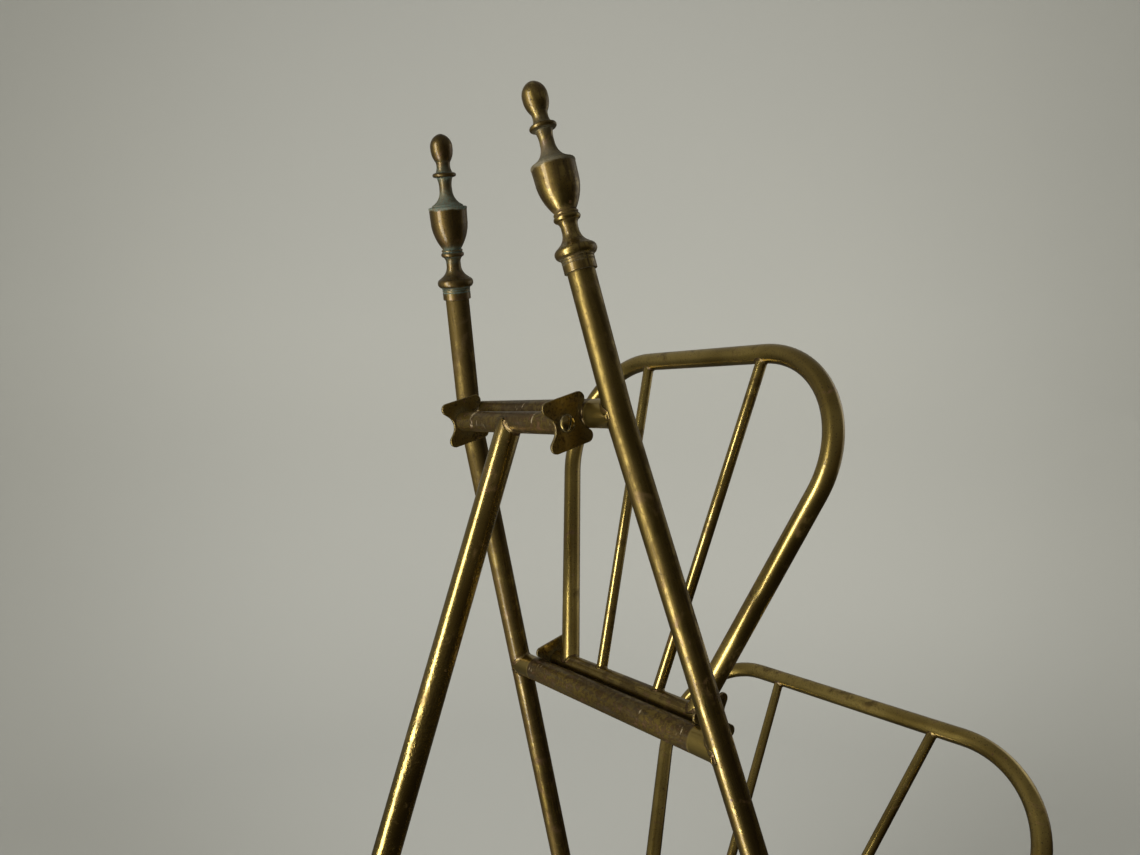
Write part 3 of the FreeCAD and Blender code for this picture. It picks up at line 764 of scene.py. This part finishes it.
def braze_fan(fan, material):
    """The feet of a fan's hoop, and both ends of its rods."""
    body = f"{fan}_fan"
    axis, top = FAN_AXIS[fan], fan_top(fan)
    half_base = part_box(f"{fan}_fan_base_tube")[1].x
    for name, side in SIDES.items():
        foot = axis + ACROSS * side * half_base
        braze(
            f"braze_{fan}_hoop_{name}", f"{fan}_fan_hoop", foot, axis, ACROSS, HINGE_RADIUS, HOOP_BEAD,
            body, material, reach=4.0,
        )
        rod = f"{fan}_fan_rod_{name}"
        low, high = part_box(rod)
        foot_x, top_x = (low.x, high.x) if side > 0 else (high.x, low.x)
        rod_foot = Vector((foot_x, axis.y, axis.z))
        rod_top = Vector((top_x, top.y, top.z))
        braze(
            f"braze_{fan}_rod_{name}_foot", rod, rod_foot, axis, ACROSS, HINGE_RADIUS, ROD_BEAD,
            body, material,
        )
        braze(
            f"braze_{fan}_rod_{name}_top", rod, rod_top, top, ACROSS, HINGE_RADIUS, ROD_BEAD,
            body, material,
        )


def braze_all():
    material = mottled_brass("braze_brass", rough=0.36, seed=11.7)
    braze_crossbars(material)
    braze_leg(material)
    for fan in FANS:
        braze_fan(fan, material)
    for hinge, crossbar in HINGE_CROSSBAR.items():
        for name in SIDES:
            plate = f"{hinge}_plate_{name}"
            braze_plate(f"braze_{plate}", plate, crossbar, material)


# ---------------------------------------------------------------- floor and backdrop

BOWL_FLOOR = 1.05
BOWL_BEND = 0.85
BOWL_HEIGHT = 2.6
BOWL_BEND_STEPS = 24
BOWL_TURNS = 96
WALL_PAINT = rgb(0.415, 0.415, 0.385)
SHADED_PAINT = rgb(0.385, 0.39, 0.37)
# The colour of the backdrop's painted glow, which is painted light.
PAINTED_GLOW_COLOUR = rgb(0.60, 0.60, 0.555)


def bowl_profile():
    """(radius, height) of the cove's rings, from the middle of its floor to the top of its wall."""
    profile = [(0.0, 0.0), (BOWL_FLOOR * 0.5, 0.0)]
    for step in range(BOWL_BEND_STEPS + 1):
        angle = math.pi / 2 * step / BOWL_BEND_STEPS
        radius = BOWL_FLOOR + BOWL_BEND * math.sin(angle)
        profile.append((radius, BOWL_BEND * (1 - math.cos(angle))))
    profile.append((BOWL_FLOOR + BOWL_BEND, BOWL_HEIGHT))
    return profile


def bowl_mesh():
    mesh = bmesh.new()
    rings = []
    for radius, height in bowl_profile():
        ring = []
        for turn in range(BOWL_TURNS if radius > 0 else 1):
            angle = 2 * math.pi * turn / BOWL_TURNS
            ring.append(mesh.verts.new((radius * math.cos(angle), radius * math.sin(angle), height)))
        rings.append(ring)
    for inner, outer in zip(rings, rings[1:]):
        for turn in range(BOWL_TURNS):
            after = (turn + 1) % BOWL_TURNS
            if len(inner) == 1:
                mesh.faces.new((inner[0], outer[turn], outer[after]))
            else:
                mesh.faces.new((inner[turn], outer[turn], outer[after], inner[after]))
    data = bpy.data.meshes.new("backdrop")
    mesh.to_mesh(data)
    mesh.free()
    data.shade_smooth()
    return data


def backdrop_paint_and_painted_light(wall_direction):
    """Pale grey paint with painted light: it glows as a painted pool of light round the point that lies in
    wall_direction from the rack, and glows more faintly low down, on the floor and the foot of the cove.
    """
    material = bpy.data.materials.new("backdrop_paint_and_painted_light")
    tree = Tree(material)
    place = tree.place()
    outward = tree.vector_math("SUBTRACT", place, TOP_CENTRE).outputs["Vector"]
    outward = tree.scaled(outward, (1.0, 1.0, 0.4))
    outward = tree.vector_math("NORMALIZE", outward).outputs["Vector"]
    bearing = tree.dot(outward, (wall_direction - UP * 0.08).normalized())
    # Painted light: the wall glows brightest round the point in wall_direction, a painted pool of light.
    wall_painted_glow = tree.step(bearing, 0.62, 1.0, 0.085, 0.285)
    # Painted light: the floor glows too, fading out 0.6 m up the cove's curve.
    floor_painted_glow = tree.step(tree.dot(place, UP), 0.6, 0.0, 0.0, 0.09)
    shader = tree.add("ShaderNodeBsdfPrincipled", {
        "Base Color": tree.mix(tree.noise(place, 1.1, 2.0), WALL_PAINT, SHADED_PAINT),
        "Roughness": 0.9,
        "Specular IOR Level": 0.1,
        "Emission Color": PAINTED_GLOW_COLOUR,
        "Emission Strength": tree.plus(wall_painted_glow, floor_painted_glow),
    })
    tree.add("ShaderNodeOutputMaterial", {"Surface": shader.outputs["BSDF"]})
    return material


def make_backdrop(wall_direction):
    """A round studio cove: a pale floor that curves up into a wall, and glows with painted light. The brass
    doesn't mirror it.
    """
    data = bowl_mesh()
    data.materials.append(backdrop_paint_and_painted_light(wall_direction))
    backdrop = bpy.data.objects.new("backdrop", data)
    bpy.context.scene.collection.objects.link(backdrop)
    backdrop.visible_glossy = False
    backdrop.visible_shadow = False


# ---------------------------------------------------------------- light

RACK_MIDDLE = Vector((0, 0, 0.45))
LIGHT_DISTANCE = 1.75
WINDOW_LIGHT = (1.0, 0.97, 0.90)
WARM_LIGHT = (1.0, 0.96, 0.88)
COOL_LIGHT = (0.93, 0.96, 1.0)
ROOM_AMBER = rgb(1.0, 0.80, 0.52)
ROOM_STRAW = rgb(1.0, 0.94, 0.78)


def make_softbox(name, direction, width, height, power, colour):
    """A rectangular soft light that faces the rack's middle."""
    data = bpy.data.lights.new(name, "AREA")
    data.shape = "RECTANGLE"
    data.size = width
    data.size_y = height
    data.energy = power
    data.color = colour
    light = bpy.data.objects.new(name, data)
    bpy.context.scene.collection.objects.link(light)
    direction = Vector(direction).normalized()
    light.location = RACK_MIDDLE + direction * LIGHT_DISTANCE
    light.rotation_mode = "QUATERNION"
    light.rotation_quaternion = (-direction).to_track_quat("-Z", "Y")
    light.visible_camera = False


def make_room_light(wall_direction):
    """A dim room: soft light from the side of the wall and from above, dark below."""
    world = bpy.data.worlds.new("room")
    bpy.context.scene.world = world
    tree = Tree(world)
    look = tree.add("ShaderNodeTexCoord").outputs["Generated"]
    wall = tree.step(tree.dot(look, wall_direction), -0.10, 0.75, 0.0, 0.12)
    above = tree.step(tree.dot(look, UP), -0.15, 0.75, 0.0, 0.10)
    daylight = tree.plus(wall, above)
    not_below = tree.step(tree.dot(look, UP), -0.40, 0.15, 0.30, 1.0)
    background = tree.add("ShaderNodeBackground", {
        "Color": tree.mix(tree.step(daylight, 0.0, 0.08), ROOM_AMBER, ROOM_STRAW),
        "Strength": tree.times(tree.plus(daylight, 0.062), not_below),
    })
    tree.add("ShaderNodeOutputWorld", {"Surface": background.outputs["Background"]})


def make_lights(level):
    """A tall window, two weak fills and the room. level is the camera's way forward, without its rise."""
    back = -level
    left = UP.cross(level)

    def around(angle, rise):
        """The way from the rack to a light, turned from the camera's side to the left."""
        turn = math.radians(angle)
        return back * math.cos(turn) + left * math.sin(turn) + UP * rise

    make_softbox("window", around(54.0, -0.22), width=0.60, height=3.20, power=64.0, colour=WINDOW_LIGHT)
    make_softbox("fill", around(-115.0, 0.45), width=0.9, height=0.9, power=0.9, colour=COOL_LIGHT)
    make_softbox("front_fill", (0.15, 1.0, 0.25), width=1.2, height=1.4, power=1.6, colour=WARM_LIGHT)
    make_room_light((level + left * 0.6).normalized())


# ---------------------------------------------------------------- the whole scene


view_forward = make_camera()
level_forward = Vector((view_forward.x, view_forward.y, 0)).normalized()
paint_posts()
paint_leg()
paint_crossbars()
paint_fans()
paint_hinges()
paint_feet()
braze_all()
make_backdrop(level_forward)
make_lights(level_forward)
bpy.context.scene.view_settings.view_transform = "Standard"
